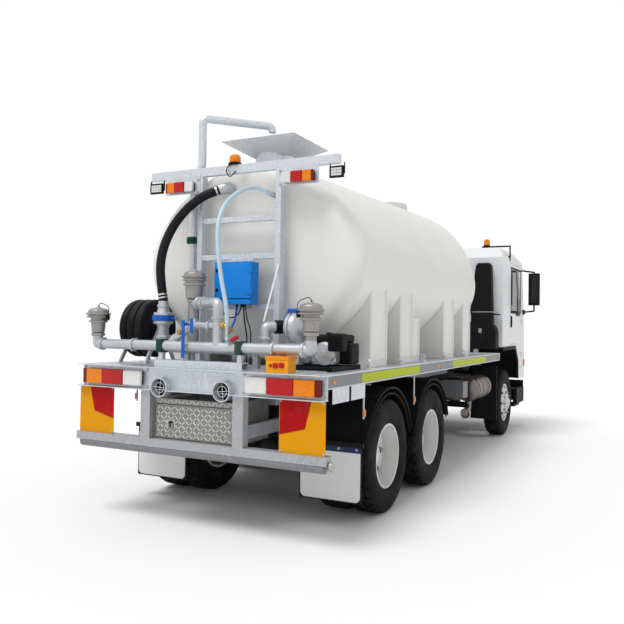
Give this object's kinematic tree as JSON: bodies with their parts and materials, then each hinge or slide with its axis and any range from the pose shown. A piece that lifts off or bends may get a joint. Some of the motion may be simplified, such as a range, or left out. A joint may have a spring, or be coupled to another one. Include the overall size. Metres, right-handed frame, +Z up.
{
  "type": "water tanker truck",
  "caption": "Rigid tanker truck with a tilting cab, moulded water tank, rear spray bar, pump, hose reel and fill hopper.",
  "frame": {"origin": "on the ground, under the middle of the truck's length and width", "axes": "+X forward to the cab, +Y to the truck's left, +Z up"},
  "size_m": [8.33, 3.04, 3.738],
  "materials": {
    "galvanised": "galvanised",
    "chassis_black": "satin",
    "cab_white": "gloss",
    "tank_poly": "moulded",
    "tyre_rubber": "matte",
    "rim_white": "gloss",
    "black_plastic": "textured",
    "hose_rubber": "matte",
    "hose_blue": "clear blue",
    "cabinet_blue": "satin",
    "pipe_silver": "cast and drawn",
    "reflector": "retroreflective",
    "lamp_red": "lens",
    "chequer": "chequer plate",
    "flap_white": "matte",
    "glass": "clear",
    "seat_fabric": "woven",
    "yellow": "moulded",
    "stainless": "heat tinted",
    "cast_iron": "painted"
  },
  "bodies": {
    "chassis": {"chassis_rails": "chassis_black", "engine_block": "cast_iron", "driveline": "cast_iron", "rear_axles": "chassis_black", "front_axle": "chassis_black", "leaf_springs": "chassis_black", "deck_frame": "galvanised", "hose_tubes": "galvanised", "underrun_bar": "galvanised", "reflector_boards": "reflector", "tail_lamps": "lamp_red", "toolbox": "chequer", "mudguards": "black_plastic", "mud_flaps": "flap_white", "water_tank": "tank_poly", "tank_legs": "tank_poly", "tank_manway": "tank_poly", "fill_hopper": "galvanised", "light_mast": "galvanised", "fill_pipe": "pipe_silver", "spray_bar": "pipe_silver", "pump_manifold": "pipe_silver", "pump_set": "cast_iron", "control_box": "yellow", "hose_fittings": "pipe_silver", "suction_hose": "hose_rubber", "sight_hose": "hose_blue", "control_cabinet": "cabinet_blue", "reel_stand": "galvanised", "fuel_tank": "chassis_black", "exhaust": "stainless", "air_intake": "black_plastic", "front_bumper": "black_plastic"},
    "cab": {"cab_shell": "cab_white", "cab_glass": "glass", "cab_seats": "seat_fabric", "dashboard": "black_plastic", "mirrors": "black_plastic", "roof_bar": "black_plastic"},
    "knuckle_left": {"knuckle_left": "cast_iron"},
    "front_wheel_left": {"front_tyre_left": "tyre_rubber", "front_rim_left": "rim_white"},
    "rear_wheel_left": {"rear_tyres_left": "tyre_rubber", "rear_rims_left": "rim_white"},
    "middle_wheel_left": {"middle_tyres_left": "tyre_rubber", "middle_rims_left": "rim_white"},
    "cab_door_left": {"door_left": "cab_white"},
    "knuckle_right": {"knuckle_right": "cast_iron"},
    "front_wheel_right": {"front_tyre_right": "tyre_rubber", "front_rim_right": "rim_white"},
    "rear_wheel_right": {"rear_tyres_right": "tyre_rubber", "rear_rims_right": "rim_white"},
    "middle_wheel_right": {"middle_tyres_right": "tyre_rubber", "middle_rims_right": "rim_white"},
    "cab_door_right": {"door_right": "cab_white"},
    "toolbox_door": {"toolbox_door": "chequer"},
    "cabinet_door": {"cabinet_door": "cabinet_blue"},
    "hose_reel": {"hose_reel": "black_plastic"},
    "hatch_lid": {"hatch_lid": "tank_poly"}
  },
  "joints": [
    {"name": "steer_left", "type": "hinge", "parent": "chassis", "child": "knuckle_left", "pos_m": [2.735, 0.89, 0.525], "axis": [0, 0, 1], "range_deg": [-35, 35]},
    {"name": "front_wheel_spin_left", "type": "hinge", "parent": "knuckle_left", "child": "front_wheel_left", "pos_m": [2.735, 1.045, 0.525], "axis": [0, 1, 0], "continuous": true},
    {"name": "rear_wheel_spin_left", "type": "hinge", "parent": "chassis", "child": "rear_wheel_left", "pos_m": [-2.709, 0.935, 0.525], "axis": [0, 1, 0], "continuous": true},
    {"name": "middle_wheel_spin_left", "type": "hinge", "parent": "chassis", "child": "middle_wheel_left", "pos_m": [-1.399, 0.935, 0.525], "axis": [0, 1, 0], "continuous": true},
    {"name": "cab_door_hinge_left", "type": "hinge", "parent": "cab", "child": "cab_door_left", "pos_m": [3.817, 1.232, 1.5], "axis": [0, 0, -1], "range_deg": [0, 70]},
    {"name": "steer_right", "type": "hinge", "parent": "chassis", "child": "knuckle_right", "pos_m": [2.735, -0.89, 0.525], "axis": [0, 0, 1], "range_deg": [-35, 35]},
    {"name": "front_wheel_spin_right", "type": "hinge", "parent": "knuckle_right", "child": "front_wheel_right", "pos_m": [2.735, -1.045, 0.525], "axis": [0, 1, 0], "continuous": true},
    {"name": "rear_wheel_spin_right", "type": "hinge", "parent": "chassis", "child": "rear_wheel_right", "pos_m": [-2.709, -0.935, 0.525], "axis": [0, 1, 0], "continuous": true},
    {"name": "middle_wheel_spin_right", "type": "hinge", "parent": "chassis", "child": "middle_wheel_right", "pos_m": [-1.399, -0.935, 0.525], "axis": [0, 1, 0], "continuous": true},
    {"name": "cab_door_hinge_right", "type": "hinge", "parent": "cab", "child": "cab_door_right", "pos_m": [3.817, -1.232, 1.5], "axis": [0, 0, 1], "range_deg": [0, 70]},
    {"name": "cab_tilt", "type": "hinge", "parent": "chassis", "child": "cab", "pos_m": [3.855, 0, 0.93], "axis": [0, 1, 0], "range_deg": [0, 45]},
    {"name": "toolbox_hinge", "type": "hinge", "parent": "chassis", "child": "toolbox_door", "pos_m": [-4.102, -0.404, 0.88], "axis": [0, 0, 1], "range_deg": [0, 90]},
    {"name": "cabinet_hinge", "type": "hinge", "parent": "chassis", "child": "cabinet_door", "pos_m": [-3.627, -0.255, 2.1], "axis": [0, 0, 1], "range_deg": [0, 110]},
    {"name": "reel_spin", "type": "hinge", "parent": "chassis", "child": "hose_reel", "pos_m": [-3.575, 0.9275, 1.675], "axis": [0, 1, 0], "continuous": true},
    {"name": "hatch_hinge", "type": "hinge", "parent": "chassis", "child": "hatch_lid", "pos_m": [0.639, 0, 3.417], "axis": [0, 1, 0], "range_deg": [0, 110]}
  ],
  "couplings": [
    {"joint": "steer_right", "follows": "steer_left", "ratio": 1}
  ]
}
